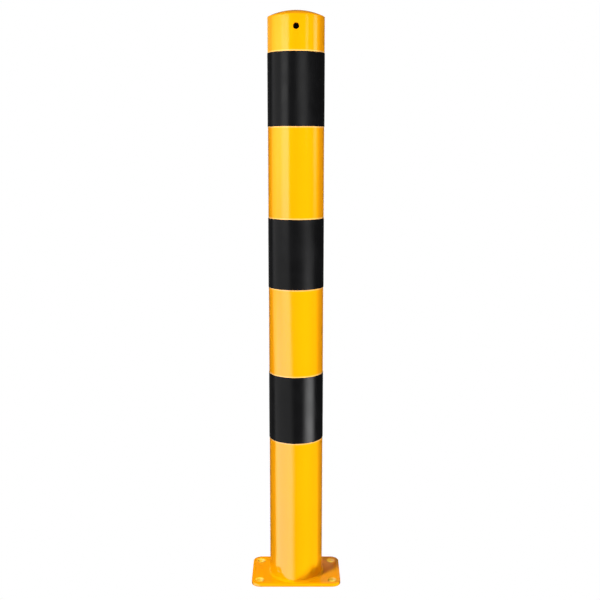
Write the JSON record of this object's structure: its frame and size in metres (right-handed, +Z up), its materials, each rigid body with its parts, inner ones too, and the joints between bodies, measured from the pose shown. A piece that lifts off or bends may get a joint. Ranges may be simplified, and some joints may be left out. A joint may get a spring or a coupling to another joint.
{
  "type": "steel safety bollard",
  "caption": "Fixed surface-mounted steel post with a shallow domed cap, black film bands, a small vent hole near the top and a rectangular base plate with anchor holes.",
  "frame": {"origin": "on the floor, under the centre of the base plate and on the post's axis", "axes": "+Z up along the post, +X along the long side of the base plate, -Y towards the front, where the vent hole is"},
  "size_m": [0.193, 0.13, 1.2],
  "materials": {
    "yellow_paint": "gloss powder coat, traffic yellow",
    "black_film": "smooth self-adhesive black film, semi-gloss"
  },
  "bodies": {
    "root": {"base_plate": "yellow_paint", "post_tube": "yellow_paint", "base_weld": "yellow_paint", "top_cap": "yellow_paint", "cap_weld": "yellow_paint", "black_band_lower": "black_film", "black_band_middle": "black_film", "black_band_upper": "black_film"}
  },
  "joints": []
}
